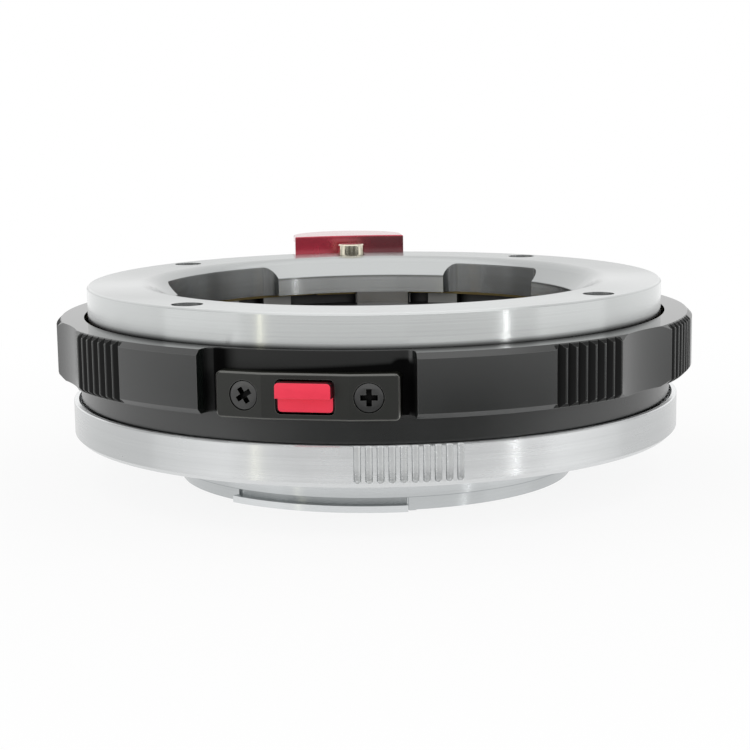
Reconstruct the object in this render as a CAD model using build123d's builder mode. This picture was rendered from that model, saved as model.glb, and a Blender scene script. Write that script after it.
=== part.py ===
"""Close-focus lens mount adapter: a camera bayonet, a double helicoid and a rangefinder lens bayonet.

Millimetres. The optical axis is Z, and Z = 0 is the face that meets the camera. The lens goes on from
above, and the release lever is at +Y. Azimuths are degrees from -Y towards +X. The adapter is drawn at
its closest focus, with the helicoid run all the way out.
"""
from build123d import *
from math import cos, degrees, radians, sin, tan
import os

os.makedirs("parts", exist_ok=True)

# Clearances
running_gap = 0.05        # between threads and other turned fits, on the radius
slide_gap = 0.1           # beside keys, levers and pins
free_gap = 0.3            # between parts that only pass each other
stop_gap = 0.1            # left at the ends of the travel

# Travel and registers
lens_register = 27.8      # from the lens's seat to the picture plane
camera_register = 17.7    # from the camera's face to the picture plane
lens_rise = 5.4           # what the lens flange climbs from infinity to its closest focus
grip_rise = 2.3           # what the grip ring itself climbs on the base thread
press_release = 1.35      # stroke of the lens release lever
press_lock = 0.4          # stroke of the lock button

# Small screws
screw_r = 0.8
screw_head_r = 1.45
screw_head_height = 0.8
cross_width = 0.42
cross_length = 1.55
cross_depth = 0.6

# Camera bayonet, whose throat all the other radii are built out from
throat_r = 18.8
spigot_wall = 1.95
register_step = 0.9
register_depth = 3.3
spigot_drop = 1.45
lug_set_back = 0.05
lug_thick = 0.65
lug_groove_depth = 0.25
lug_span = 48.8
lug_az = -22.3
lug_heel_gap = 0.4
lug_heel_span = 2.0
lug_heel_rise = 0.25
plate_thick = 1.3
plate_inset = 1.05
rebate_width = 1.0
rebate_height = 0.6
lock_hole_r = 1.3
lock_hole_depth = 0.9
lock_hole_inset = 2.4
lock_hole_az = 62.0
bayonet_screw_count = 4
bayonet_screw_turn = 45.0

# Camera mount ring
mount_ring_height = 3.85
mount_ring_chamfer = 0.45
lip_wall = 0.5
lip_rounding = 0.12
flute_count = 10
flute_pitch_az = 1.87
flute_az = -0.55
flute_r = 0.4
flute_depth = 0.2
flute_foot = 0.65
flute_point = 0.35

# Base barrel and guide keys
base_floor = 0.9
base_step = 0.55
base_wall = 0.75
barrel_gap = 0.2
key_width = 4.0
key_thick = 1.6
key_step = 0.8
key_roof = 1.0
key_foot_length = 2.8
key_foot_thick = 0.8
key_screw_inset = 1.6

# Lens flange
tab_step = 2.7
tab_top_drop = 2.0
lead_in = 2.1
lead_in_rounding = 2.0
gap_depth = 1.4
gap_corner = 1.3
gap_spans = [(118.2, 151.8), (205.2, 254.6), (-63.0, -27.0), (27.0, 63.0)]
hub_wall = 1.7
hub_drop = 0.6
flange_gap = 0.4
flange_thick = 3.4
flange_chamfer = 0.2
flange_screw_inset = 1.0
flange_screw_az = 45.0
flange_screw_sink = 0.8
flange_screw_length = 3.6

# Carriage barrel, bayonet spring and lug stop
lug_clearance = 0.2
carriage_wall = 1.5
bore_step = 1.1
web_step = 0.9
web_lift = 1.2
web_thick = 1.1
spring_leaf_thick = 0.3
spring_tongue_step = 0.9
spring_tongue_span = 26.0
stop_width = 6.4
stop_depth = 1.4
stop_az = 171.4
window_spans = [(121.8, 149.0), (157.9, 163.3), (179.5, 199.3), (208.2, 216.8)]
window_depth = 1.2

# Helicoid ring and grip ring
helicoid_wall = 0.65
land_height = 1.4
stem_groove_depth = 0.85
skirt_wall = 0.55
floor_gap = 0.12
lobe_gap = 0.25
lobe_height = 2.25
lobe_chamfer = 0.5
valley_count = 6
valley_az = -14.1
valley_span = 16.2
valley_depth = 0.9
tooth_count = 7
tooth_pitch_az = 2.04
tooth_depth = 0.5
recess_az = -17.1
recess_span = 35.2
recess_corner = 0.9
set_screw_r = 0.8
set_screw_sink = 0.2

# Infinity lock
lock_plate_width = 16.8
lock_plate_height = 4.2
lock_plate_sink = 1.1
lock_plate_flat = 8.0
lock_plate_corner = 0.5
lock_plate_edge = 0.15
lock_skin = 0.3
lock_screw_az = 10.2
lock_screw_head_r = 1.34
lock_cross_turns = (32.0, 0.0)
lock_button_width = 5.05
lock_button_height = 2.78
lock_button_gap = 0.2
lock_button_corner = 0.3
lock_button_low_sink = 0.1
lock_button_high_sink = 0.05
lock_flange_lip = 0.45
lock_stem_r = 0.4
lock_spring_length = 4.4
lock_spring_width = 1.8
lock_spring_thick = 0.1

# Release lever, lock pin and their spring
lever_width = 13.2
lever_top_rise = 2.1
lever_plate_thick = 0.75
lever_wall = 1.0
lever_side_inset = 1.4
lever_overhang = 3.6
lever_edge = 0.1
lever_foot_thick = 0.95
lever_foot_width = 5.0
lever_foot_inset = 0.7
pin_inset = 2.6
pin_r = 1.58
pin_rise = 1.35
pin_chamfer = 0.15
release_spring_r = 0.8
release_spring_wire = 0.15
release_spring_turns = 5
release_spring_seat = 2.2

# Radii, from the throat outwards
spigot_r = throat_r + spigot_wall
register_r = spigot_r + register_step
lug_r = register_r - lug_set_back
base_bore_r = register_r + base_step
tab_r = throat_r + tab_step
gap_r = tab_r + gap_depth
lug_space_r = gap_r + lug_clearance
hub_r = lug_space_r + hub_wall
carriage_bore_r = hub_r + bore_step
key_inner_r = hub_r + key_step
thread_r = key_inner_r + key_thick + carriage_wall
base_inner_r = thread_r + barrel_gap
base_thread_r = base_inner_r + base_wall
plate_r = base_thread_r - plate_inset
helicoid_inner_r = base_thread_r + running_gap
helicoid_r = helicoid_inner_r + helicoid_wall
grip_bore_r = helicoid_r + running_gap
flange_r = grip_bore_r - flange_gap
lever_inner_r = flange_r - lever_wall
skirt_r = grip_bore_r + skirt_wall
lip_r = skirt_r + free_gap
mount_ring_r = lip_r + lip_wall
lobe_r = skirt_r + lobe_height
valley_r = lobe_r - valley_depth
bayonet_screw_r = (base_bore_r + plate_r) / 2
key_screw_at_r = key_inner_r - key_screw_inset
flange_screw_at_r = thread_r - flange_screw_inset
lever_foot_inner_r = gap_r + lever_foot_inset
pin_at_r = lever_foot_inner_r + pin_inset
release_spring_at_r = (carriage_bore_r + thread_r) / 2
lock_face_r = lobe_r - lock_plate_sink

# Heights, from the camera's face upwards, at the closest focus
spigot_bottom = -register_depth - spigot_drop
base_floor_top = plate_thick + base_floor
seat_z = lens_register - camera_register + lens_rise
flange_bottom = seat_z - flange_thick
hub_bottom = flange_bottom - hub_drop
leaf_bottom = hub_bottom - spring_leaf_thick
carriage_bottom = base_floor_top + lens_rise + stop_gap
web_bottom = carriage_bottom + web_lift
web_top = web_bottom + web_thick
key_slot_top = seat_z - key_roof
key_top = key_slot_top - lens_rise - stop_gap
helicoid_top = flange_bottom - (lens_rise - grip_rise) - stop_gap
land_bottom = helicoid_top - land_height
base_top = land_bottom - grip_rise - stop_gap
grip_bottom = plate_thick + grip_rise + floor_gap
lobe_bottom = mount_ring_height + grip_rise + lobe_gap
lock_z = mount_ring_height + grip_rise + running_gap + lock_plate_height / 2
lock_stem_z = helicoid_top - land_height / 2
lever_foot_bottom = flange_bottom + press_release + stop_gap
lever_foot_top = lever_foot_bottom + lever_foot_thick
lever_top = seat_z + lever_top_rise
plate_bottom = lever_top - lever_plate_thick
grip_top = plate_bottom - press_release - (lens_rise - grip_rise) - stop_gap


def half_section(*points):
    """Half-section of a turned piece, as radius and height pairs."""
    with BuildSketch(Plane.XZ) as section:
        with BuildLine():
            Polyline(*points, close=True)
        make_face()
    return section.sketch


def arc_sector(r_in, r_out, az_from, az_to, z, inner_corner=0.0, outer_corner=0.0):
    """Sector of a ring at height z, between two azimuths, with its corners rounded if asked."""
    with BuildSketch(Plane.XY.offset(z)) as sector:
        with BuildLine():
            inner = CenterArc((0, 0), r_in, az_from - 90, az_to - az_from)
            outer = CenterArc((0, 0), r_out, az_from - 90, az_to - az_from)
            Line(inner @ 0, outer @ 0)
            Line(inner @ 1, outer @ 1)
        make_face()
        corners = sector.vertices().sort_by(lambda corner: Vector(corner.X, corner.Y).length)
        if inner_corner:
            fillet(corners[:2], inner_corner)
        if outer_corner:
            fillet(corners[-2:], outer_corner)
    return sector.sketch


def facing_plane(az, radius, z):
    """Plane that looks outward at an azimuth, with its x along the ring and its y up."""
    a = radians(az)
    return Plane(origin=(radius * sin(a), -radius * cos(a), z), x_dir=(cos(a), sin(a), 0),
                 z_dir=(sin(a), -cos(a), 0))


def polar(radius, az):
    """Point of a plan view at a radius and an azimuth."""
    return (radius * sin(radians(az)), -radius * cos(radians(az)))


def key_azimuths():
    """The two guide keys stand left and right, clear of the lever and of the flange screws."""
    return [-90.0, 90.0]


# Camera bayonet: register, spigot and three lugs, each with a heel, turned and milled from one blank
lug_top = spigot_bottom + lug_thick
lug_starts = [lug_az + 120.0 * i - lug_span / 2 for i in range(3)]
with BuildPart() as camera_bayonet:
    revolve(half_section(
        (throat_r, spigot_bottom), (spigot_r, spigot_bottom), (spigot_r, -register_depth),
        (register_r, -register_depth), (register_r, 0), (plate_r, 0), (plate_r, rebate_height),
        (plate_r - rebate_width, rebate_height), (plate_r - rebate_width, plate_thick),
        (throat_r, plate_thick)), axis=Axis.Z)
    for start in lug_starts:
        extrude(arc_sector(spigot_r - lug_groove_depth / 2, lug_r, start, start + lug_span, spigot_bottom),
                amount=lug_thick)
        extrude(arc_sector(spigot_r - lug_groove_depth, lug_r, start, start + lug_span, lug_top),
                amount=-register_depth - lug_top, mode=Mode.SUBTRACT)
        heel = start + lug_span + lug_heel_gap
        extrude(arc_sector(spigot_r - lug_heel_rise, spigot_r + lug_heel_rise, heel, heel + lug_heel_span,
                           spigot_bottom),
                amount=-register_depth - spigot_bottom)
    with PolarLocations(bayonet_screw_r, bayonet_screw_count, bayonet_screw_turn):
        Cone(screw_head_r, screw_r, screw_head_height, align=(Align.CENTER, Align.CENTER, Align.MIN),
             mode=Mode.SUBTRACT)
        Cylinder(screw_r, plate_thick, align=(Align.CENTER, Align.CENTER, Align.MIN), mode=Mode.SUBTRACT)
    with Locations(polar(base_bore_r + lock_hole_inset, lock_hole_az)):
        Cylinder(lock_hole_r, lock_hole_depth, align=(Align.CENTER, Align.CENTER, Align.MIN),
                 mode=Mode.SUBTRACT)
camera_bayonet.part.label = "camera_bayonet"

# Screws that hold the bayonet plate to the base barrel, with the mount ring clamped between them
with BuildPart() as camera_bayonet_screws:
    with PolarLocations(bayonet_screw_r, bayonet_screw_count, bayonet_screw_turn):
        Cone(screw_head_r, screw_r, screw_head_height, align=(Align.CENTER, Align.CENTER, Align.MIN))
        Cylinder(screw_r, base_floor_top - stop_gap, align=(Align.CENTER, Align.CENTER, Align.MIN))
        Box(cross_length, cross_width, cross_depth, align=(Align.CENTER, Align.CENTER, Align.MIN),
            mode=Mode.SUBTRACT)
        Box(cross_width, cross_length, cross_depth, align=(Align.CENTER, Align.CENTER, Align.MIN),
            mode=Mode.SUBTRACT)
camera_bayonet_screws.part.label = "camera_bayonet_screws"

# Camera mount ring: the silver shell with a thin lip and a fluted thumb grip
flute_centre_r = mount_ring_r - flute_depth + flute_r
flutes = [polar(flute_centre_r, flute_az + flute_pitch_az * (i - (flute_count - 1) / 2))
          for i in range(flute_count)]
with BuildPart() as camera_mount_ring:
    revolve(half_section(
        (plate_r, 0), (mount_ring_r - mount_ring_chamfer, 0), (mount_ring_r, mount_ring_chamfer),
        (mount_ring_r, mount_ring_height - lip_rounding), (mount_ring_r - lip_rounding, mount_ring_height),
        (lip_r, mount_ring_height), (lip_r, plate_thick), (plate_r - rebate_width, plate_thick),
        (plate_r - rebate_width, rebate_height), (plate_r, rebate_height)), axis=Axis.Z)
    with Locations(*[(x, y, flute_foot) for x, y in flutes]):
        Cylinder(flute_r, mount_ring_height, align=(Align.CENTER, Align.CENTER, Align.MIN),
                 mode=Mode.SUBTRACT)
        Cone(flute_r, flute_r - flute_depth, flute_point, rotation=(180, 0, 0),
             align=(Align.CENTER, Align.CENTER, Align.MIN), mode=Mode.SUBTRACT)
camera_mount_ring.part.label = "camera_mount_ring"

# Base barrel: the fixed half of the outer helicoid, standing on the mount
with BuildPart() as base_barrel:
    revolve(half_section(
        (base_bore_r, plate_thick), (base_thread_r, plate_thick), (base_thread_r, base_top),
        (base_inner_r, base_top), (base_inner_r, base_floor_top),
        (base_bore_r, base_floor_top)), axis=Axis.Z)
    with Locations((0, 0, plate_thick)):
        with PolarLocations(bayonet_screw_r, bayonet_screw_count, bayonet_screw_turn):
            Cylinder(screw_r, base_floor, align=(Align.CENTER, Align.CENTER, Align.MIN), mode=Mode.SUBTRACT)
    with Locations(*[polar(key_screw_at_r, az) + (plate_thick,) for az in key_azimuths()]):
        Cylinder(screw_r, base_floor, align=(Align.CENTER, Align.CENTER, Align.MIN), mode=Mode.SUBTRACT)
base_barrel.part.label = "base_barrel"

# Guide keys: two brass angles on the base that keep the lens carriage from turning
with BuildPart() as guide_keys:
    for az in key_azimuths():
        with BuildSketch(facing_plane(az, key_inner_r, 0)):
            with Locations((0, (base_floor_top + key_top) / 2)):
                Rectangle(key_width, key_top - base_floor_top)
        extrude(amount=key_thick)
        with BuildSketch(facing_plane(az, key_inner_r, 0)):
            with Locations((0, base_floor_top + key_foot_thick / 2)):
                Rectangle(key_width, key_foot_thick)
        extrude(amount=-key_foot_length)
    with Locations(*[polar(key_screw_at_r, az) + (base_floor_top,) for az in key_azimuths()]):
        Cylinder(screw_r, key_foot_thick, align=(Align.CENTER, Align.CENTER, Align.MIN), mode=Mode.SUBTRACT)
        Cone(screw_r, screw_r + key_foot_thick / 2, key_foot_thick,
             align=(Align.CENTER, Align.CENTER, Align.MIN), mode=Mode.SUBTRACT)
guide_keys.part.label = "guide_keys"

# Screws of the guide keys, flush with the feet
with BuildPart() as guide_key_screws:
    with Locations(*[polar(key_screw_at_r, az) + (base_floor_top,) for az in key_azimuths()]):
        Cone(screw_r, screw_r + key_foot_thick / 2, key_foot_thick,
             align=(Align.CENTER, Align.CENTER, Align.MIN))
        Cylinder(screw_r, base_floor - stop_gap, align=(Align.CENTER, Align.CENTER, Align.MAX))
guide_key_screws.part.label = "guide_key_screws"

# Helicoid ring: threaded on the base below and on the carriage above, with a groove for the lock stem
groove_low = lock_stem_z - lock_stem_r - slide_gap
groove_high = lock_stem_z + lock_stem_r + slide_gap
with BuildPart() as helicoid_ring:
    revolve(half_section(
        (helicoid_inner_r, grip_bottom), (helicoid_r, grip_bottom), (helicoid_r, groove_low),
        (helicoid_r - stem_groove_depth, groove_low), (helicoid_r - stem_groove_depth, groove_high),
        (helicoid_r, groove_high), (helicoid_r, helicoid_top), (thread_r + running_gap, helicoid_top),
        (thread_r + running_gap, land_bottom), (helicoid_inner_r, land_bottom)), axis=Axis.Z)
helicoid_ring.part.label = "helicoid_ring"

# Outline cuts of the grip ring: scalloped valleys with V teeth on both shoulders
valley_half = valley_span / 2
valley_chord = lobe_r * sin(radians(valley_half))
valley_sag = lobe_r * cos(radians(valley_half)) - valley_r
scallop_r = (valley_chord ** 2 + valley_sag ** 2) / (2 * valley_sag)
valley_azimuths = [valley_az + 360.0 / valley_count * i for i in range(1, valley_count)]
tooth_half = tooth_pitch_az / 2
teeth = [valley + side * (valley_half + tooth_half + tooth_pitch_az * i)
         for valley in valley_azimuths for side in (-1, 1) for i in range(tooth_count)]
set_screw_azimuths = valley_azimuths[1:4]
tooth_mouth_r = lobe_r + lobe_chamfer
lock_plane = facing_plane(recess_az, 0, lock_z)
stem_plane = facing_plane(recess_az, 0, lock_stem_z)
lock_screw_planes = [facing_plane(recess_az + turn, 0, lock_z) for turn in (-lock_screw_az, lock_screw_az)]
with BuildPart() as focus_ring:
    revolve(half_section(
        (grip_bore_r, grip_bottom), (skirt_r, grip_bottom), (skirt_r, lobe_bottom),
        (lobe_r - lobe_chamfer, lobe_bottom), (lobe_r, lobe_bottom + lobe_chamfer),
        (lobe_r, grip_top - lobe_chamfer), (lobe_r - lobe_chamfer, grip_top), (grip_bore_r, grip_top)),
        axis=Axis.Z)
    with BuildSketch(Plane.XY.offset(lobe_bottom)):
        with Locations(*[polar(valley_r + scallop_r, az) for az in valley_azimuths]):
            Circle(scallop_r)
        for az in teeth:
            with BuildLine():
                Polyline(polar(lobe_r - tooth_depth, az), polar(tooth_mouth_r, az - tooth_half),
                         polar(tooth_mouth_r, az + tooth_half), close=True)
            make_face()
    extrude(amount=grip_top - lobe_bottom, mode=Mode.SUBTRACT)
    extrude(arc_sector(skirt_r, tooth_mouth_r, recess_az - recess_span / 2, recess_az + recess_span / 2,
                       lobe_bottom, inner_corner=recess_corner),
            amount=grip_top - lobe_bottom, mode=Mode.SUBTRACT)
    for az in set_screw_azimuths:
        with Locations(facing_plane(az, grip_bore_r, lock_z)):
            Cylinder(set_screw_r, lobe_r - grip_bore_r, align=(Align.CENTER, Align.CENTER, Align.MIN),
                     mode=Mode.SUBTRACT)
    with Locations(stem_plane):
        Cylinder(lock_stem_r + slide_gap, lobe_r, align=(Align.CENTER, Align.CENTER, Align.MIN),
                 mode=Mode.SUBTRACT)
    with Locations(*lock_screw_planes):
        Cylinder(screw_r, lobe_r, align=(Align.CENTER, Align.CENTER, Align.MIN), mode=Mode.SUBTRACT)
focus_ring.part.label = "focus_ring"

# Set screws that fix the grip ring on the helicoid ring
with BuildPart() as focus_ring_set_screws:
    for az in set_screw_azimuths:
        with Locations(facing_plane(az, grip_bore_r, lock_z)):
            Cylinder(set_screw_r, valley_r - grip_bore_r - set_screw_sink,
                     align=(Align.CENTER, Align.CENTER, Align.MIN))
focus_ring_set_screws.part.label = "focus_ring_set_screws"

# Lock plate: a cover bent to the ring, its back on the recess floor, with a pocket for the button's flange
wing_drop = (lock_plate_width - lock_plate_flat) / 2 * tan(radians(lock_screw_az))
flat_half = lock_plate_flat / 2
plate_half = lock_plate_width / 2
button_pocket_r = lock_face_r - lock_skin
lock_plan = Plane(origin=(0, 0, lock_z), x_dir=lock_plane.x_dir)
with BuildPart() as lock_plate:
    with BuildSketch(lock_plan.offset(-lock_plate_height / 2)):
        with BuildLine():
            Polyline((-plate_half, wing_drop - lock_face_r), (-flat_half, -lock_face_r),
                     (flat_half, -lock_face_r), (plate_half, wing_drop - lock_face_r),
                     (plate_half, -plate_half), (-plate_half, -plate_half), close=True)
        make_face()
        Circle(skirt_r, mode=Mode.SUBTRACT)
    extrude(amount=lock_plate_height)
    with BuildSketch(lock_plane):
        RectangleRounded(lock_plate_width, lock_plate_height, lock_plate_corner)
    extrude(amount=lobe_r, mode=Mode.INTERSECT)
    outward = lock_plate.faces().filter_by(GeomType.PLANE).sort_by(lambda f: f.center().dot(lock_plane.z_dir))
    rim = outward[-3:].edges().filter_by(lambda e: abs(e.center().Z - lock_z) > lock_plate_edge)
    chamfer(rim, lock_plate_edge)
    with BuildSketch(lock_plane):
        RectangleRounded(lock_button_width + 2 * lock_button_gap, lock_button_height + 2 * lock_button_gap,
                         lock_button_corner + lock_button_gap)
    extrude(amount=lobe_r, mode=Mode.SUBTRACT)
    with BuildSketch(lock_plane):
        Rectangle(lock_button_width + 2 * (lock_flange_lip + lock_button_gap),
                  lock_button_height + 2 * lock_button_gap)
    extrude(amount=button_pocket_r, mode=Mode.SUBTRACT)
    for plane in lock_screw_planes:
        with Locations(plane.offset(lock_face_r - screw_head_height)):
            Cylinder(lock_screw_head_r + running_gap, lobe_r,
                     align=(Align.CENTER, Align.CENTER, Align.MIN), mode=Mode.SUBTRACT)
        with Locations(plane):
            Cylinder(screw_r, lobe_r, align=(Align.CENTER, Align.CENTER, Align.MIN), mode=Mode.SUBTRACT)
lock_plate.part.label = "lock_plate"

# Lock plate screws: flat heads with a cross, flush with the bent wings
with BuildPart() as lock_plate_screws:
    for plane, cross_turn in zip(lock_screw_planes, lock_cross_turns):
        with Locations(plane.offset(lock_face_r - screw_head_height)):
            Cylinder(lock_screw_head_r, screw_head_height, align=(Align.CENTER, Align.CENTER, Align.MIN))
            Cylinder(screw_r, lock_face_r - screw_head_height - grip_bore_r - running_gap,
                     align=(Align.CENTER, Align.CENTER, Align.MAX))
        with Locations(plane.offset(lock_face_r) * Rotation(0, 0, cross_turn)):
            Box(cross_length, cross_width, cross_depth, align=(Align.CENTER, Align.CENTER, Align.MAX),
                mode=Mode.SUBTRACT)
            Box(cross_width, cross_length, cross_depth, align=(Align.CENTER, Align.CENTER, Align.MAX),
                mode=Mode.SUBTRACT)
lock_plate_screws.part.label = "lock_plate_screws"

# Lock button: a stepped push button whose flange stays behind the plate, with a stem into the ring
button_flange_front = button_pocket_r - running_gap
button_flange_back = skirt_r + lock_spring_thick + press_lock + running_gap
with BuildPart() as lock_button:
    with BuildSketch(lock_plane.offset(button_flange_back)):
        RectangleRounded(lock_button_width, lock_button_height, lock_button_corner)
    extrude(amount=lobe_r - lock_button_high_sink - button_flange_back)
    with BuildSketch(lock_plane.offset(lock_face_r - lock_button_low_sink)):
        with Locations((0, -lock_button_height / 4)):
            Rectangle(lock_button_width, lock_button_height / 2)
    extrude(amount=lobe_r, mode=Mode.SUBTRACT)
    with BuildSketch(lock_plane.offset(button_flange_back)):
        Rectangle(lock_button_width + 2 * lock_flange_lip, lock_button_height)
    extrude(amount=button_flange_front - button_flange_back)
    with BuildSketch(stem_plane.offset(grip_bore_r)):
        Circle(lock_stem_r)
    extrude(amount=button_flange_back - grip_bore_r)
lock_button.part.label = "lock_button"

# Lock spring: a bowed leaf round the stem, between the recess floor and the button's flange
spring_half = lock_spring_length / 2
with BuildPart() as lock_button_spring:
    with BuildSketch(lock_plan.offset(-lock_spring_width / 2)):
        with BuildLine():
            low = skirt_r + running_gap
            crown = button_flange_back - running_gap
            ThreePointArc((-spring_half, -low), (0, -crown + lock_spring_thick), (spring_half, -low))
            ThreePointArc((-spring_half, -low - lock_spring_thick), (0, -crown),
                          (spring_half, -low - lock_spring_thick))
            Line((-spring_half, -low), (-spring_half, -low - lock_spring_thick))
            Line((spring_half, -low), (spring_half, -low - lock_spring_thick))
        make_face()
    extrude(amount=lock_spring_width)
    with Locations(stem_plane):
        Cylinder(lock_stem_r + slide_gap, lobe_r, align=(Align.CENTER, Align.CENTER, Align.MIN),
                 mode=Mode.SUBTRACT)
lock_button_spring.part.label = "lock_button_spring"

# Lens flange: a turned plate with four bayonet tabs, a notch for the lever and pockets for the keys
foot_centre = (lever_foot_inner_r + lever_inner_r) / 2
foot_length = lever_inner_r - lever_foot_inner_r
flange_screw_spots = [polar(flange_screw_at_r, flange_screw_az + 90.0 * i) for i in range(4)]
flange_screw_head_top = seat_z - flange_screw_sink
with BuildPart() as lens_mount_flange:
    revolve(half_section(
        (tab_r, hub_bottom), (hub_r, hub_bottom), (hub_r, flange_bottom), (flange_r, flange_bottom),
        (flange_r, seat_z - flange_chamfer), (flange_r - flange_chamfer, seat_z), (tab_r + lead_in, seat_z),
        (tab_r, seat_z - tab_top_drop)), axis=Axis.Z)
    rims = lens_mount_flange.edges().filter_by(GeomType.CIRCLE).group_by(Axis.Z)[-1]
    fillet(rims.sort_by(SortBy.RADIUS)[0], lead_in_rounding)
    for az_from, az_to in gap_spans:
        extrude(arc_sector(tab_r - gap_corner, gap_r, az_from, az_to, hub_bottom, outer_corner=gap_corner),
                amount=seat_z - hub_bottom, mode=Mode.SUBTRACT)
    with BuildSketch(Plane.XY.offset(flange_bottom)):
        Circle(lobe_r)
        Circle(lever_inner_r - slide_gap, mode=Mode.SUBTRACT)
        with Locations((0, flange_r)):
            Rectangle(lever_width + 2 * slide_gap, flange_r, mode=Mode.INTERSECT)
    extrude(amount=flange_thick, mode=Mode.SUBTRACT)
    with BuildSketch(Plane.XY.offset(hub_bottom)):
        with Locations((0, foot_centre)):
            Rectangle(lever_foot_width + 2 * slide_gap, foot_length + 2 * slide_gap)
    extrude(amount=lever_foot_top + slide_gap - hub_bottom, mode=Mode.SUBTRACT)
    with BuildSketch(Plane.XY.offset(hub_bottom)):
        with Locations((0, pin_at_r)):
            Circle(pin_r + slide_gap)
    extrude(amount=seat_z - hub_bottom, mode=Mode.SUBTRACT)
    for az in key_azimuths():
        with BuildSketch(facing_plane(az, key_inner_r - slide_gap, 0)):
            with Locations((0, (flange_bottom + key_slot_top) / 2)):
                Rectangle(key_width + 2 * slide_gap, key_slot_top - flange_bottom)
        extrude(amount=key_thick + 2 * slide_gap, mode=Mode.SUBTRACT)
    with Locations(*[spot + (seat_z,) for spot in flange_screw_spots]):
        Cylinder(screw_head_r + running_gap, flange_screw_sink + screw_head_height,
                 align=(Align.CENTER, Align.CENTER, Align.MAX), mode=Mode.SUBTRACT)
        Cylinder(screw_r, flange_thick, align=(Align.CENTER, Align.CENTER, Align.MAX), mode=Mode.SUBTRACT)
lens_mount_flange.part.label = "lens_mount_flange"

# Flange screws: sunk cheese heads that pull the flange on to the carriage
with BuildPart() as flange_screws:
    with Locations(*[spot + (flange_screw_head_top,) for spot in flange_screw_spots]):
        Cylinder(screw_head_r, screw_head_height, align=(Align.CENTER, Align.CENTER, Align.MAX))
        Cylinder(screw_r, flange_screw_length, align=(Align.CENTER, Align.CENTER, Align.MAX))
        Box(cross_length, cross_width, cross_depth, align=(Align.CENTER, Align.CENTER, Align.MAX),
            mode=Mode.SUBTRACT)
        Box(cross_width, cross_length, cross_depth, align=(Align.CENTER, Align.CENTER, Align.MAX),
            mode=Mode.SUBTRACT)
flange_screws.part.label = "flange_screws"

# Carriage barrel: the inner helicoid, with keyways, the lens lugs' space and its windows, and a spring seat
with BuildPart() as carriage_barrel:
    revolve(half_section(
        (carriage_bore_r, carriage_bottom), (thread_r, carriage_bottom), (thread_r, flange_bottom),
        (hub_r + running_gap, flange_bottom), (hub_r + running_gap, leaf_bottom), (lug_space_r, leaf_bottom),
        (lug_space_r, web_top), (tab_r - web_step, web_top), (tab_r - web_step, web_bottom),
        (carriage_bore_r, web_bottom)), axis=Axis.Z)
    for az in key_azimuths():
        with BuildSketch(facing_plane(az, key_inner_r - slide_gap, 0)):
            with Locations((0, (carriage_bottom + flange_bottom) / 2)):
                Rectangle(key_width + 2 * slide_gap, flange_bottom - carriage_bottom)
        extrude(amount=key_thick + 2 * slide_gap, mode=Mode.SUBTRACT)
    with Locations(*[spot + (flange_screw_head_top,) for spot in flange_screw_spots]):
        Cylinder(screw_r, flange_screw_length + stop_gap, align=(Align.CENTER, Align.CENTER, Align.MAX),
                 mode=Mode.SUBTRACT)
    for az_from, az_to in window_spans:
        extrude(arc_sector(lug_space_r - slide_gap, lug_space_r + window_depth, az_from, az_to, web_top),
                amount=leaf_bottom - web_top, mode=Mode.SUBTRACT)
    with Locations((0, release_spring_at_r, flange_bottom)):
        Cylinder(release_spring_r + release_spring_wire + slide_gap, release_spring_seat,
                 align=(Align.CENTER, Align.CENTER, Align.MAX), mode=Mode.SUBTRACT)
carriage_barrel.part.label = "carriage_barrel"

# Bayonet spring: a bronze leaf ring clamped under the flange, with a tongue under each tab
gap_ring = sorted(gap_spans)
tab_centres = [(gap_ring[i - 1][1] + gap_ring[i][0]) / 2 for i in range(1, len(gap_ring))]
tab_centres.append((gap_ring[-1][1] + gap_ring[0][0] + 360.0) / 2)
stop_half = degrees(stop_width / 2 / lug_space_r)
stop_side = degrees(slide_gap / lug_space_r)
with BuildPart() as bayonet_spring:
    revolve(half_section((lug_space_r, leaf_bottom), (hub_r, leaf_bottom), (hub_r, hub_bottom),
                         (lug_space_r, hub_bottom)), axis=Axis.Z)
    for az in tab_centres:
        extrude(arc_sector(tab_r + spring_tongue_step, lug_space_r + spring_leaf_thick,
                           az - spring_tongue_span / 2, az + spring_tongue_span / 2, leaf_bottom),
                amount=spring_leaf_thick)
    extrude(arc_sector(tab_r, lug_space_r, stop_az - stop_half - stop_side, stop_az + stop_half + stop_side,
                       leaf_bottom), amount=spring_leaf_thick, mode=Mode.SUBTRACT)
bayonet_spring.part.label = "bayonet_spring"

# Lug stop: the block that ends the lens's turn, between the carriage's web and the tab
with BuildPart() as lug_stop:
    extrude(arc_sector(lug_space_r - stop_depth, lug_space_r, stop_az - stop_half, stop_az + stop_half,
                       web_top), amount=hub_bottom - web_top)
lug_stop.part.label = "lug_stop"

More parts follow.
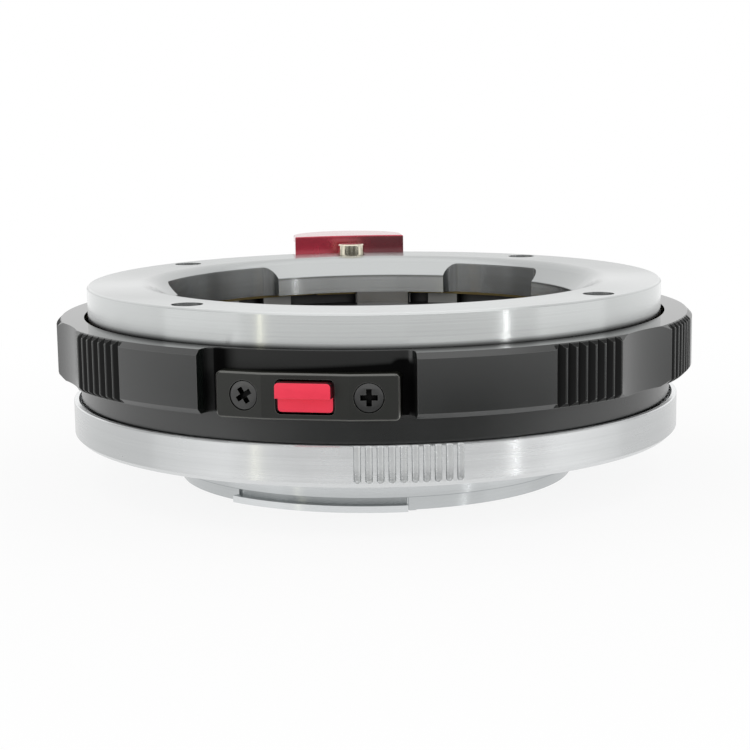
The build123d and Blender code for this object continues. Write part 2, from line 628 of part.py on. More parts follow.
# Release lever: a thumb plate over the grip, a wall in the flange's notch and a foot under the flange
lever_half = lever_width / 2
side_end = lobe_r - lever_side_inset
with BuildPart() as release_lever:
    with BuildSketch(Plane.XY.offset(plate_bottom)):
        with BuildLine():
            Polyline((lever_half, side_end), (lever_half, lever_foot_inner_r),
                     (-lever_half, lever_foot_inner_r), (-lever_half, side_end))
            ThreePointArc((-lever_half, side_end), (0, lobe_r + lever_overhang), (lever_half, side_end))
        make_face()
        Circle(lever_inner_r, mode=Mode.SUBTRACT)
    extrude(amount=lever_plate_thick)
    with BuildSketch(Plane.XY.offset(lever_foot_bottom)):
        Circle(flange_r)
        Circle(lever_inner_r, mode=Mode.SUBTRACT)
        with Locations((0, flange_r)):
            Rectangle(lever_width, flange_r, mode=Mode.INTERSECT)
    extrude(amount=plate_bottom - lever_foot_bottom)
    chamfer(release_lever.faces().sort_by(Axis.Z)[-1].edges(), lever_edge)
    with BuildSketch(Plane.XY.offset(lever_foot_bottom)):
        with Locations((0, (lever_foot_inner_r + flange_r) / 2)):
            Rectangle(lever_foot_width, flange_r - lever_foot_inner_r)
        Circle(flange_r, mode=Mode.INTERSECT)
        with Locations((0, pin_at_r)):
            Circle(pin_r, mode=Mode.SUBTRACT)
    extrude(amount=lever_foot_thick)
release_lever.part.label = "release_lever"

# Lock pin: steel, pressed into the lever's foot, standing through the lens seat
with BuildPart() as lock_pin:
    with Locations((0, pin_at_r, lever_foot_bottom)):
        Cylinder(pin_r, seat_z + pin_rise - lever_foot_bottom, align=(Align.CENTER, Align.CENTER, Align.MIN))
    chamfer(lock_pin.edges().sort_by(Axis.Z)[-1], pin_chamfer)
lock_pin.part.label = "lock_pin"

# Release spring: a coil in the carriage that holds the lever up
coil_bottom = flange_bottom - release_spring_seat + release_spring_wire
coil_height = lever_foot_bottom - release_spring_wire - coil_bottom
with BuildPart() as release_spring:
    with BuildLine() as coil:
        Helix(coil_height / release_spring_turns, coil_height, release_spring_r,
              center=(0, release_spring_at_r, coil_bottom))
    with BuildSketch(Plane(origin=coil.line @ 0, z_dir=coil.line % 0)):
        Circle(release_spring_wire)
    sweep(path=coil.line, is_frenet=True)
release_spring.part.label = "release_spring"

pieces = [camera_bayonet, camera_bayonet_screws, camera_mount_ring, base_barrel, guide_keys,
          guide_key_screws, helicoid_ring, focus_ring, focus_ring_set_screws, lock_plate,
          lock_plate_screws, lock_button, lock_button_spring, lens_mount_flange, flange_screws,
          carriage_barrel, bayonet_spring, lug_stop, release_lever, lock_pin, release_spring]
for piece in pieces:
    export_step(piece.part, f"parts/{piece.part.label}.step")
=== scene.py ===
# %% [markdown]
# # A close-focus lens mount adapter
# The adapter sits between a lens and a camera. Two silver bayonets face outwards, and between them a
# black grip ring turns a double helicoid that lifts the lens away from the camera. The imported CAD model
# gives every piece its place, so this lesson loads it, gives each piece its finish, rebuilds by hand the
# small pieces whose edges catch the eye, and sets up a soft light and the photograph's camera.

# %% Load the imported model
import math

import bmesh
import bpy
from mathutils import Matrix, Vector


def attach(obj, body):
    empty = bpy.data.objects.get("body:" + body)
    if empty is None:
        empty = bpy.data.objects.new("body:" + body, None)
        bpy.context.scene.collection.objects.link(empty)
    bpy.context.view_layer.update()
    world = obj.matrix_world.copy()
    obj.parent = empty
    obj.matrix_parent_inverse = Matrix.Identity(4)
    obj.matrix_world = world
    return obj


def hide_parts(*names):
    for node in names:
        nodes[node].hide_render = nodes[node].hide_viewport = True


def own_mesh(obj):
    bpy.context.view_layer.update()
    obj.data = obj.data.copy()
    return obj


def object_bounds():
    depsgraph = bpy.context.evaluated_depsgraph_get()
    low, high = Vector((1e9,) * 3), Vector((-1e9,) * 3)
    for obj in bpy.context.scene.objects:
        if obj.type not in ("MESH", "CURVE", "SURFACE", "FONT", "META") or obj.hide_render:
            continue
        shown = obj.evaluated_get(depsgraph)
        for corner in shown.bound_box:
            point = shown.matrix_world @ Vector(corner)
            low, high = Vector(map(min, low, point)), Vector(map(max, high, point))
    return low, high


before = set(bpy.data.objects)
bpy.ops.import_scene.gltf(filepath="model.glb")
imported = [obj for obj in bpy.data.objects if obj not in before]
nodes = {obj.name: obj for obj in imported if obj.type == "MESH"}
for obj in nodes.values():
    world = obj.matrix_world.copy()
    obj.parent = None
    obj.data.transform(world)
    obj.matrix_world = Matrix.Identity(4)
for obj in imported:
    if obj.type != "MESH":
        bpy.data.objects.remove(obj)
cad_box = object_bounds()
MM = 0.001

# %% [markdown]
# ## Shader maths as plain expressions
# A finish is a small sum of patterns: turned lines plus dust, a colour that drifts, a roughness that
# follows it. Wiring each Math node by hand hides that sum. A thin wrapper around a socket lets Python's
# own operators add the nodes, so a finish below reads like the formula it is.

# %% Wrap a socket so that operators add Math nodes
class Wire:
    """One output of a shader node. Arithmetic on it adds Math nodes to the same graph."""

    def __init__(self, graph, socket):
        self.graph = graph
        self.socket = socket

    def _math(self, operation, first, second):
        return self.graph.node("ShaderNodeMath", {"operation": operation}, {0: first, 1: second})

    def __add__(self, other):
        return self._math("ADD", self, other)

    def __radd__(self, other):
        return self._math("ADD", other, self)

    def __sub__(self, other):
        return self._math("SUBTRACT", self, other)

    def __rsub__(self, other):
        return self._math("SUBTRACT", other, self)

    def __mul__(self, other):
        return self._math("MULTIPLY", self, other)

    def __rmul__(self, other):
        return self._math("MULTIPLY", other, self)

    def __truediv__(self, other):
        return self._math("DIVIDE", self, other)

    def __pow__(self, other):
        return self._math("POWER", self, other)

    def __abs__(self):
        return self._math("ABSOLUTE", self, 0.0)

    def rise(self, start, end):
        """Zero below start, one above end, and smooth between them."""
        return self.graph.node("ShaderNodeMapRange", {"interpolation_type": "SMOOTHSTEP"},
                               {"Value": self, "From Min": start, "From Max": end})

    def within(self, low, high, soft):
        """One from low to high, and zero outside them, with soft limits."""
        return self.rise(low - soft, low + soft) * (1 - self.rise(high - soft, high + soft))


class Graph:
    """A node tree of a material or of the world."""

    def __init__(self, tree):
        self.tree = tree

    def node(self, kind, settings, sockets, out=0):
        """Adds a node: its settings first, then the values or links of its sockets."""
        made = self.tree.nodes.new(kind)
        for key, value in settings.items():
            setattr(made, key, value)
        for key, value in sockets.items():
            if isinstance(value, Wire):
                self.tree.links.new(value.socket, made.inputs[key])
            else:
                made.inputs[key].default_value = value
        if isinstance(out, tuple):
            return tuple(Wire(self, made.outputs[name]) for name in out)
        return Wire(self, made.outputs[out])


class Finish(Graph):
    """A material with one Principled shader. Constants go straight on to its sockets."""

    def __init__(self, name, **constants):
        self.material = bpy.data.materials.new(name)
        self.material.use_nodes = True
        super().__init__(self.material.node_tree)
        self.shader = self.tree.nodes["Principled BSDF"]
        for socket, value in constants.items():
            self.shader.inputs[socket.replace("_", " ")].default_value = value

    def feed(self, **sockets):
        """Links a wire to each named socket of the shader."""
        for socket, wire in sockets.items():
            self.tree.links.new(wire.socket, self.shader.inputs[socket.replace("_", " ")])


# %% [markdown]
# ## Patterns that every metal here shares
# All the big pieces were turned on a lathe, so their tool marks are circles about the optical axis: rings
# on a flat face and level lines on a wall. A noise read at (radius, height) instead of (x, y, z) has just
# that symmetry. Handling rubs the edges bright and leaves dust; the lighter edges are partly that wear and
# partly a painted highlight. An edge could be found from the mesh, but the Bevel node finds it for any
# shape: where a slightly rounded copy of the surface would face another way than the surface itself, there
# is an edge. Ambient Occlusion tells its opposite, a crevice, where shade is painted.

# %% Where a point is
def place(finish):
    """The point's place on the piece, in metres."""
    return finish.node("ShaderNodeTexCoord", {}, {}, out="Object")


def spot(finish):
    """The point's x, y and z, in millimetres."""
    axes = finish.node("ShaderNodeSeparateXYZ", {}, {0: place(finish)}, out=("X", "Y", "Z"))
    return tuple(axis / MM for axis in axes)


def section(finish):
    """The point's distance from the optical axis and its height, in millimetres."""
    x, y, z = spot(finish)
    return (x * x + y * y) ** 0.5, z


def azimuth_of(finish):
    """The point's direction from the optical axis, in degrees from the front towards the right."""
    x, y, _ = spot(finish)
    return finish.node("ShaderNodeMath", {"operation": "ARCTAN2"}, {0: x, 1: 0 - y}) * (180 / math.pi)


# %% Turned lines, blotches, dust, edges and crevices
def turned_lines(finish, spacing):
    """Noise that only changes with radius and height, in steps of about spacing millimetres."""
    radius, z = section(finish)
    profile = finish.node("ShaderNodeCombineXYZ", {}, {"X": radius, "Y": z})
    return finish.node("ShaderNodeTexNoise", {"noise_dimensions": "2D"},
                       {"Vector": profile, "Scale": 1 / spacing, "Detail": 3.0, "Roughness": 0.6}, out="Fac")


def blotches(finish, spacing):
    """Soft patches, for handling marks and uneven anodising."""
    return finish.node("ShaderNodeTexNoise", {},
                       {"Vector": place(finish), "Scale": 1 / (spacing * MM), "Detail": 4.0}, out="Fac")


def dust(finish, spacing, size, share):
    """One where a speck lies and zero elsewhere. Only that share of the cells holds one."""
    sockets = {"Vector": place(finish), "Scale": 1 / (spacing * MM)}
    distance, cell = finish.node("ShaderNodeTexVoronoi", {}, sockets, out=("Distance", "Color"))
    chance = finish.node("ShaderNodeSeparateColor", {}, {0: cell})
    return (1 - distance.rise(0.6 * size / spacing, size / spacing)) * chance.rise(1 - share, 1.001 - share)


def openness(finish, reach):
    """One on an open face, falling in a corner or a slot no wider than reach millimetres."""
    return finish.node("ShaderNodeAmbientOcclusion", {"samples": 8}, {"Distance": reach * MM}, out="AO")


def rubbed_and_highlit_edges(finish, width):
    """One along outer edges, about width millimetres wide: the place of rubbed wear and of a painted
    highlight.
    """
    rounded = finish.node("ShaderNodeBevel", {"samples": 6}, {"Radius": width * MM})
    surface = finish.node("ShaderNodeNewGeometry", {}, {}, out="Normal")
    along = finish.node("ShaderNodeVectorMath", {"operation": "DOT_PRODUCT"}, {0: rounded, 1: surface},
                        out="Value")
    return (1 - along).rise(0.01, 0.12) * openness(finish, 4 * width).rise(0.6, 0.85)


def mixed(finish, share, low, high):
    """Colour that goes from low to high as share goes from 0 to 1. Each may be a colour or a wire."""
    low, high = (c if isinstance(c, Wire) else (*c, 1.0) for c in (low, high))
    return finish.node("ShaderNodeMix", {"data_type": "RGBA"}, {"Factor": share, 6: low, 7: high}, out=2)


def scaled(tone, factor):
    """A lighter or darker tone, up to full strength."""
    return tuple(min(channel * factor, 1.0) for channel in tone)


def bumped(finish, height, depth, strength):
    """A surface whose pattern stands depth millimetres high."""
    return finish.node("ShaderNodeBump", {},
                       {"Height": height, "Distance": depth * MM, "Strength": strength}, out="Normal")


def nowhere(finish):
    """The mask of a finish that has no such place."""
    return 0.0


# %% [markdown]
# ## Silver finishes
# Both mounts are bare turned metal. A lathe's grooves spread a reflection across themselves, so a lamp
# becomes a narrow upright streak on a wall: that is anisotropy, turned by a quarter. Milled gap walls, screw
# wells, tabs, the faced top, the flutes, the grooves and each wall towards its sides get painted shade, each
# from its own darker mask, found from the same radii and heights that the CAD model uses. The foot of the
# flange's wall gets a painted reflection of the black grip.

# %% Silver finishes
TAB_R, GAP_R, WALL_R = 21.6, 23.05, 29.9
CONE_R, CONE_Z, CONE_SLOPE, FACE_Z = 21.5, 13.5, 0.95, 15.45
WELL_XY, WELL_TOP = 19.59, 15.49
FLUTE_FLOOR_R, FLUTE_TOP_R = 31.4, 31.68
SPIGOT_R, SPIGOT_TOP = 20.6, -3.3


def silver(name, tone, roughness, spacing, depth, shade, shade_tone, dark=nowhere):
    """Bare turned metal with lines about spacing apart and depth deep. shade tells how far each point goes to
    the shade's tone, as painted shade, and dark how far to black, as a painted reflection."""
    finish = Finish(name, Metallic=1.0, Anisotropic=1.0, Anisotropic_Rotation=0.25)
    lines = turned_lines(finish, spacing)
    patches = blotches(finish, 6.0)
    body = mixed(finish, 0.65 * lines + 0.35 * patches, scaled(tone, 0.9), scaled(tone, 1.08))
    body = mixed(finish, shade(finish), body, shade_tone)
    finish.feed(Base_Color=mixed(finish, dark(finish), body, scaled(tone, 0.04)),
                Roughness=roughness - 0.05 + 0.1 * patches + 0.05 * lines,
                Normal=bumped(finish, lines, depth, 0.6))
    return finish.material


def flange_shade(finish):
    """Painted shade on the milled bayonet gaps, the faced top (darkest across its middle), the screw wells,
    the tabs, the lead-in, the thin rim and the wall towards its sides.
    """
    x, y, _ = spot(finish)
    radius, z = section(finish)
    cone = CONE_Z + CONE_SLOPE * (radius - CONE_R)
    faced = finish.node("ShaderNodeMath", {"operation": "MINIMUM"}, {0: cone, 1: FACE_Z})
    milled = radius.within(TAB_R, GAP_R, 0.03) * (cone - z).rise(0.03, 0.1)
    faced_top = (z - faced).rise(-0.24, -0.18)
    from_middle = 0.58 - 0.46 * (0 - y).rise(8, 24) - 0.14 * y.rise(4, 20)
    top = from_middle * faced_top * (1 - radius.rise(29.7, 29.85))
    well_x, well_y = abs(x) - WELL_XY, abs(y) - WELL_XY
    well = (1 - (well_x * well_x + well_y * well_y).rise(2.3, 2.42)) * (WELL_TOP - z).rise(0.0, 0.04)
    tab = 0.18 * (1 - radius.rise(TAB_R - 0.05, TAB_R))
    lead_in = 0.14 * (1 - radius.rise(23.6, 24.8)) * faced_top
    wall = radius.rise(WALL_R, WALL_R + 0.05) * (0.2 * abs(x).rise(6, 18) + 0.1 * abs(x).rise(22, 29))
    rim = 0.3 * radius.rise(29.8, 29.86) * z.rise(15.28, 15.34)
    return milled + top + 0.9 * well + tab + lead_in + rim + wall


def flange_foot_reflection(finish):
    """The lowest part of the wall, painted dark as a reflection of the black grip."""
    radius, z = section(finish)
    return 0.9 * radius.rise(WALL_R, WALL_R + 0.05) * (1 - z.rise(12.3, 12.95))


def ring_shade(finish):
    """Painted shade on the ten flutes, darkest along their walls, with darker grain towards their pointed
    feet where the cutter left it, and painted shade on the ring's wall towards both sides."""
    x, _, _ = spot(finish)
    radius, z = section(finish)
    fluted = azimuth_of(finish).within(-10.2, 9.1, 0.1)
    cut = (1 - radius.rise(FLUTE_TOP_R, 31.72)) * radius.rise(FLUTE_FLOOR_R, 31.5) * fluted
    grain = blotches(finish, 0.22)
    low = 1 - z.rise(0.5, 2.2)
    flute = cut * z.within(0.42, 3.7, 0.03) * (0.18 + 0.16 * radius.rise(31.58, 31.66) + 0.75 * low * grain)
    return flute + 0.42 * radius.rise(31.7, 31.73) * abs(x).rise(10, 28)


def bayonet_shade(finish):
    """Painted shade in the groove over each lug, a painted shadow on the line between register and spigot,
    and painted shade towards the foot of both.
    """
    radius, z = section(finish)
    groove = (1 - radius.rise(20.55, 20.7)) * z.within(-4.1, SPIGOT_TOP, 0.03) * radius.rise(19.5, 19.6)
    line = z.within(-3.36, -3.26, 0.03)
    register = 0.28 * radius.rise(21.5, 21.6) * (1 - z.rise(-3.4, -1.6)) * z.rise(-3.36, SPIGOT_TOP)
    spigot = 0.3 * radius.within(SPIGOT_R, 21.2, 0.05) * (1 - z.rise(-3.4, SPIGOT_TOP))
    return 0.62 * groove + 0.45 * line + register + spigot


flange_silver = silver("turned flange silver", (0.75, 0.77, 0.765), roughness=0.18, spacing=0.2, depth=0.006,
                       shade=flange_shade, shade_tone=(0.34, 0.35, 0.35), dark=flange_foot_reflection)
ring_silver = silver("satin mount silver", (0.84, 0.855, 0.86), roughness=0.24, spacing=0.12, depth=0.001,
                     shade=ring_shade, shade_tone=(0.27, 0.28, 0.28))
bayonet_silver = silver("bayonet silver", (0.76, 0.78, 0.79), roughness=0.22, spacing=0.1, depth=0.001,
                        shade=bayonet_shade, shade_tone=(0.2, 0.22, 0.22))
print("silver finishes", flange_silver.name, ring_silver.name, bayonet_silver.name)

# %% [markdown]
# ## Black finishes
# Satin black anodising is dye under a clear oxide: nearly black from the front, and grey at a glancing
# angle, where the oxide reflects the studio. Slots and corners are painted fully black as shade. Sharp
# edges are painted grey, partly as rubbed wear and partly as a painted highlight, and dust sits everywhere.
# The inside of the carriage is the same black, except for the wall that the lens's lugs rub on, which is
# bare. The grip's masks, which place painted shade and a painted shadow, count in degrees round the ring,
# from one valley to the next, and those of the lock along its flat plate.

# %% Places on the black pieces
LOCK_AZ, LOCK_Z = -17.1, 8.3
FIRST_VALLEY, VALLEY_STEP = -14.1, 60.0
RECESS_R, RECESS_Z = 31.0, 6.5


def lock_spot(finish):
    """The point as the lock's plate sees it: along the ring, upwards and outwards."""
    x, y, z = spot(finish)
    c, s = math.cos(math.radians(LOCK_AZ)), math.sin(math.radians(LOCK_AZ))
    return x * c + y * s, z - LOCK_Z, x * s - y * c


def lug_wall(finish):
    """The wall inside the carriage that the lens's lugs rub bare."""
    radius, z = section(finish)
    return (1 - radius.rise(23.12, 23.18)) * z.rise(10.02, 10.08)


def grip_painted_shade(finish):
    """Painted shade on the sides of the teeth, in two rows beside each valley, and on the ground and both
    ends of the lock's recess, and a painted shadow in the wedge over the lock's plate, which opens to the
    right."""
    radius, z = section(finish)
    azimuth = azimuth_of(finish)
    from_valley = finish.node("ShaderNodeMath", {"operation": "PINGPONG"},
                              {0: azimuth - FIRST_VALLEY, 1: VALLEY_STEP / 2})
    beside_lock = azimuth.within(-45, 16, 1)
    rows = 0.8 * (1 - beside_lock) * from_valley.within(8.0, 22.5, 0.1)
    teeth = rows * radius.within(32.5, 33.12, 0.03) * z.within(6.45, 12.2, 0.05)
    right_end = azimuth.within(-2.6, 1.0, 0.9) * (1 - radius.rise(32.7, 33.0)) * z.within(RECESS_Z, 11.4, 0.4)
    on_ground = 1 - radius.rise(RECESS_R, RECESS_R + 0.1)
    wedge_top = 10.6 + 0.028 * (azimuth + 33)
    wedge = azimuth.within(-31.5, -2.0, 1.5) * on_ground * (1 - (z - wedge_top).rise(-0.9, 0.0))
    ground = 0.55 * azimuth.within(-34.5, 0.3, 0.3) * on_ground * z.rise(6.42, RECESS_Z)
    left_end = 0.7 * azimuth.within(-34.9, -28, 0.2) * (1 - azimuth.rise(-34, -29))
    left_end = left_end * (1 - radius.rise(31.6, 32.4)) * z.within(RECESS_Z, 12.2, 0.1)
    return teeth + right_end + wedge * z.rise(9.5, 9.6) + ground + left_end


def plate_rim(finish):
    """The fine rim of the lock's plate, rubbed bright: partly wear and partly a painted highlight."""
    along, up, out = lock_spot(finish)
    ends = abs(along).rise(8.27, 8.3) + (abs(along) + abs(up)).rise(10.12, 10.16)
    side = ends + 0.35 * abs(up).rise(1.95, 1.98)
    return side * (out + 0.18 * (abs(along) - 4).rise(0, 4.4) * 4.4).rise(31.8, 31.86)


def grip_face(finish):
    """The faced upper side of the grip, which is smoother than its turned outside."""
    _, z = section(finish)
    return z.rise(12.26, 12.29)


# %% Black finishes
# The first colour is the black of painted shade, the second the grey of rubbed wear and painted edge
# highlights, the third that of dust.
SHADE_BLACK, RUBBED_AND_HIGHLIT_GREY, DUST_TONE = (0.0006, 0.0006, 0.0007), (0.17, 0.172, 0.165), (0.5, 0.5, 0.46)
BARREL_TONE = (0.014, 0.014, 0.014)


def black(name, tone, roughness, spacing, rub, bare=nowhere, painted_shade=nowhere, bare_tone=(0.36, 0.36, 0.35),
          shut=(0.2, 0.62), smooth=nowhere, ior=1.85):
    """Black anodising whose edges are lightened by the share rub, partly as rubbed wear and partly as a
    painted highlight, and which is bare metal where bare says so, painted dead black as shade where the shade
    mask says so and smoother where smooth says so. Where less open than the first value of shut it is painted
    black as shade as well, and fades to its own tone at the second."""
    finish = Finish(name, IOR=ior)
    lines = turned_lines(finish, spacing)
    patches = blotches(finish, 5.0)
    speck = dust(finish, spacing=1.9, size=0.06, share=0.1)
    # Painted shade: dead black in the masked places and in corners that ambient occlusion finds, in colour,
    # metallic and roughness.
    deep = finish.node("ShaderNodeMath", {"operation": "MINIMUM"}, {0: painted_shade(finish), 1: 1.0})
    crevice = 1 - openness(finish, 1.2).rise(*shut) * (1 - deep)
    body = mixed(finish, 0.5 * lines + 0.5 * patches, scaled(tone, 0.8), scaled(tone, 1.25))
    body = mixed(finish, crevice, body, SHADE_BLACK)
    body = mixed(finish, rub * rubbed_and_highlit_edges(finish, 0.06) * (0.35 + patches), body, RUBBED_AND_HIGHLIT_GREY)
    body = mixed(finish, speck, body, DUST_TONE)
    bright = bare(finish)
    rough = roughness - 0.05 + 0.1 * patches + 0.3 * speck + 0.45 * deep
    finish.feed(Base_Color=mixed(finish, bright, body, bare_tone),
                Metallic=0.93 * crevice * (1 - bright) * (1 - speck) + bright,
                Roughness=rough * (1 - 0.8 * smooth(finish)),
                Normal=bumped(finish, lines, 0.002, 0.5))
    return finish.material


grip_black = black("grip anodising", (0.0036, 0.0052, 0.0044), roughness=0.25, spacing=0.16, rub=0.8,
                   painted_shade=grip_painted_shade, smooth=grip_face)
plate_black = black("lock plate anodising", (0.0042, 0.0052, 0.0026), roughness=0.38, spacing=0.3, rub=0.9,
                    bare=plate_rim, bare_tone=(0.34, 0.34, 0.32), ior=1.6)
barrel_black = black("barrel anodising", BARREL_TONE, roughness=0.5, spacing=0.16, rub=0.2)
carriage_black = black("carriage anodising", BARREL_TONE, roughness=0.5, spacing=0.16, rub=0.2, bare=lug_wall)
screw_black = black("blackened screw steel", (0.013, 0.0135, 0.013), roughness=0.34, spacing=0.2, rub=0.6,
                    shut=(0.5, 0.95))
print("black finishes", grip_black.name, plate_black.name, barrel_black.name, carriage_black.name,
      screw_black.name)

# %% [markdown]
# ## Red, steel, brass and bronze
# The lock button was blasted before it was dyed, so it glows evenly. The release lever was dyed over a
# turned surface: it is darker, and its clear oxide mirrors the white behind it. The rest is bare metal.

# %% Red, steel, brass and bronze finishes
def button_walls(finish):
    """The outer walls of the button, painted nearly black as the shade of the plate's window they stand in.
    """
    along, up, out = lock_spot(finish)
    outer = abs(along).rise(2.44, 2.48) + abs(up).rise(1.31, 1.35) + (abs(along) + abs(up)).rise(3.5, 3.54)
    upper = up.rise(-0.02, 0.02)
    return 0.94 * outer * (1 - (out - 1.1 * upper).rise(31.9, 31.96))


def lever_right(finish):
    """The lever is shaded towards its right end."""
    x, _, z = spot(finish)
    return 0.7 * x.rise(-4, 4) * (1 - z.rise(17.4, 17.5))


def dyed(name, tone, edge_tone, metallic, roughness, coat, dark):
    """Red dye, lighter along its edges as rubbed wear and painted highlight, and painted nearly black where
    dark says so, as shade.
    """
    finish = Finish(name, Metallic=metallic, Coat_Weight=coat, Coat_Roughness=0.15, Coat_IOR=1.65)
    patches = blotches(finish, 1.5)
    grain = blotches(finish, 0.06)
    body = mixed(finish, 0.6 * patches + 0.4 * grain, scaled(tone, 0.88), scaled(tone, 1.12))
    body = mixed(finish, 0.5 * rubbed_and_highlit_edges(finish, 0.08), body, edge_tone)
    finish.feed(Base_Color=mixed(finish, dark(finish), body, scaled(tone, 0.02)),
                Roughness=roughness - 0.05 + 0.1 * patches, Normal=bumped(finish, grain, 0.002, 0.4))
    return finish.material


def bare_metal(name, tone, roughness, spacing, depth):
    """Bare metal with fine lines about spacing apart and depth deep, with painted shade in its corners."""
    finish = Finish(name, Metallic=1.0)
    lines = turned_lines(finish, spacing)
    patches = blotches(finish, 3.0)
    body = mixed(finish, 0.5 * lines + 0.5 * patches, scaled(tone, 0.88), scaled(tone, 1.12))
    shadow = 1 - openness(finish, 0.8).rise(0.25, 0.7)
    finish.feed(Base_Color=mixed(finish, shadow, body, scaled(tone, 0.12)),
                Roughness=roughness - 0.05 + 0.1 * patches, Normal=bumped(finish, lines, depth, 0.5))
    return finish.material


button_red = dyed("blasted red dye", (1.0, 0.029, 0.076), edge_tone=(1.0, 0.2, 0.27), metallic=0.0,
                  roughness=0.42, coat=0.0, dark=button_walls)
lever_red = dyed("turned red dye", (0.46, 0.0125, 0.042), edge_tone=(0.7, 0.1, 0.16), metallic=0.75,
                 roughness=0.26, coat=1.0, dark=lever_right)
pin_steel = bare_metal("polished pin steel", (0.74, 0.69, 0.56), roughness=0.12, spacing=0.1, depth=0.001)
spring_steel = bare_metal("spring steel", (0.7, 0.7, 0.69), roughness=0.25, spacing=0.1, depth=0.001)
brass = bare_metal("turned brass", (0.7, 0.5, 0.2), roughness=0.3, spacing=0.15, depth=0.002)
bronze = bare_metal("rolled bronze", (0.4, 0.31, 0.14), roughness=0.3, spacing=0.2, depth=0.001)
print("other finishes", button_red.name, lever_red.name, pin_steel.name, spring_steel.name, brass.name,
      bronze.name)

# %% [markdown]
# ## Dress the CAD pieces
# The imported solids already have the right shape, so most keep their mesh and only get their finish.

# %% Give every node its finish
finish_of = {
    "camera_bayonet": bayonet_silver, "camera_bayonet_screws": spring_steel,
    "camera_mount_ring": ring_silver, "base_barrel": barrel_black, "guide_keys": brass,
    "guide_key_screws": spring_steel, "helicoid_ring": brass, "focus_ring": grip_black,
    "focus_ring_set_screws": screw_black, "lock_plate": plate_black, "lock_plate_screws": screw_black,
    "lock_button": button_red, "lock_button_spring": spring_steel, "lens_mount_flange": flange_silver,
    "flange_screws": screw_black, "carriage_barrel": carriage_black, "bayonet_spring": bronze,
    "lug_stop": spring_steel, "release_lever": lever_red, "lock_pin": pin_steel,
    "release_spring": spring_steel}
for name, material in finish_of.items():
    mesh = nodes[name].data
    mesh.materials.clear()
    mesh.materials.append(material)
print("dressed", len(finish_of), "nodes")

# %% [markdown]
# ## Modelling by hand: small helpers
# An operator in edit mode works on what is selected, just as it does under a mouse. So the helpers do what
# a hand would: select one object alone, pick faces or edges by where they are, start from a block or a rod,
# cut or join two solids, and copy what repeats. The last one rounds off the shading and hands a finished
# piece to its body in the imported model.

# %% Helpers for selecting and cutting
WELD = 0.001 * MM
ONE_PLANE, SMOOTH_UP_TO = math.radians(0.3), math.radians(32)


def select_only(*objects):
    """Selects these objects and makes the first of them active."""
    bpy.ops.object.select_all(action="DESELECT")
    for one in objects:
        one.select_set(True)
    bpy.context.view_layer.objects.active = objects[0]


def pick(piece, kind, test):
    """In edit mode, selects the faces or edges that pass the test."""
    bpy.ops.mesh.select_mode(type=kind)
    bpy.ops.mesh.select_all(action="DESELECT")
    mesh = bmesh.from_edit_mesh(piece.data)
    chosen = [part for part in (mesh.faces if kind == "FACE" else mesh.edges) if test(part)]
    for part in chosen:
        part.select_set(True)
    bmesh.update_edit_mesh(piece.data)
    return len(chosen)


def looks_down(face):
    return face.normal.z < -0.9


def at_top(edge):
    """Whether an edge lies at z = 0, where a screw has its outer end."""
    return all(abs(vertex.co.z) < WELD for vertex in edge.verts)


def shape_with(piece, other, operation):
    """Cuts the other solid out of the piece, or joins it on, and throws the other away."""
    select_only(piece)
    change = piece.modifiers.new("shape", "BOOLEAN")
    change.operation = operation
    change.solver = "EXACT"
    change.object = other
    bpy.ops.object.modifier_apply(modifier=change.name)
    bpy.data.objects.remove(other)


def clean_faces(piece):
    """Joins triangles that lie in one plane, so that every facet of a round wall is a clean rectangle."""
    select_only(piece)
    bpy.ops.object.mode_set(mode="EDIT")
    bpy.ops.mesh.select_all(action="SELECT")
    bpy.ops.mesh.dissolve_limited(angle_limit=ONE_PLANE)
    bpy.ops.object.mode_set(mode="OBJECT")


# %% Helpers for starting, copying and placing
def block(size, centre):
    """A cube at its size and place, in millimetres, left in object mode."""
    bpy.ops.object.select_all(action="DESELECT")
    bpy.ops.mesh.primitive_cube_add(size=1.0, location=[c * MM for c in centre],
                                    scale=[s * MM for s in size])
    bpy.ops.object.transform_apply(location=True, rotation=True, scale=True)
    return bpy.context.object


def rod(sides, radius, length, centre):
    """An upright cylinder at its size and place, in millimetres, left in object mode."""
    bpy.ops.object.select_all(action="DESELECT")
    bpy.ops.mesh.primitive_cylinder_add(vertices=sides, radius=radius * MM, depth=length * MM,
                                        location=[c * MM for c in centre])
    bpy.ops.object.transform_apply(location=True, rotation=True, scale=True)
    return bpy.context.object


def merged_copy(node):
    """A copy of a CAD node as one closed skin. The node itself stays as it is."""
    copy = bpy.data.objects.new(node + " copy", nodes[node].data.copy())
    bpy.context.scene.collection.objects.link(copy)
    copy.matrix_world = nodes[node].matrix_world
    select_only(copy)
    bpy.ops.object.mode_set(mode="EDIT")
    bpy.ops.mesh.select_all(action="SELECT")
    bpy.ops.mesh.remove_doubles(threshold=WELD)
    bpy.ops.object.mode_set(mode="OBJECT")
    clean_faces(copy)
    return copy


def outward(azimuth):
    """The level direction that leaves the optical axis at an azimuth."""
    a = math.radians(azimuth)
    return Vector((math.sin(a), -math.cos(a), 0))


def facing(azimuth, radius, z):
    """The place on a ring that looks outward at an azimuth: x along the ring, y up and z outward."""
    a = math.radians(azimuth)
    along, out = Vector((math.cos(a), math.sin(a), 0)), outward(azimuth)
    turn = Matrix((along, (0, 0, 1), out)).transposed().to_4x4()
    return Matrix.Translation((out * radius + Vector((0, 0, z))) * MM) @ turn


def turned(angle):
    return Matrix.Rotation(angle, 4, "Z")


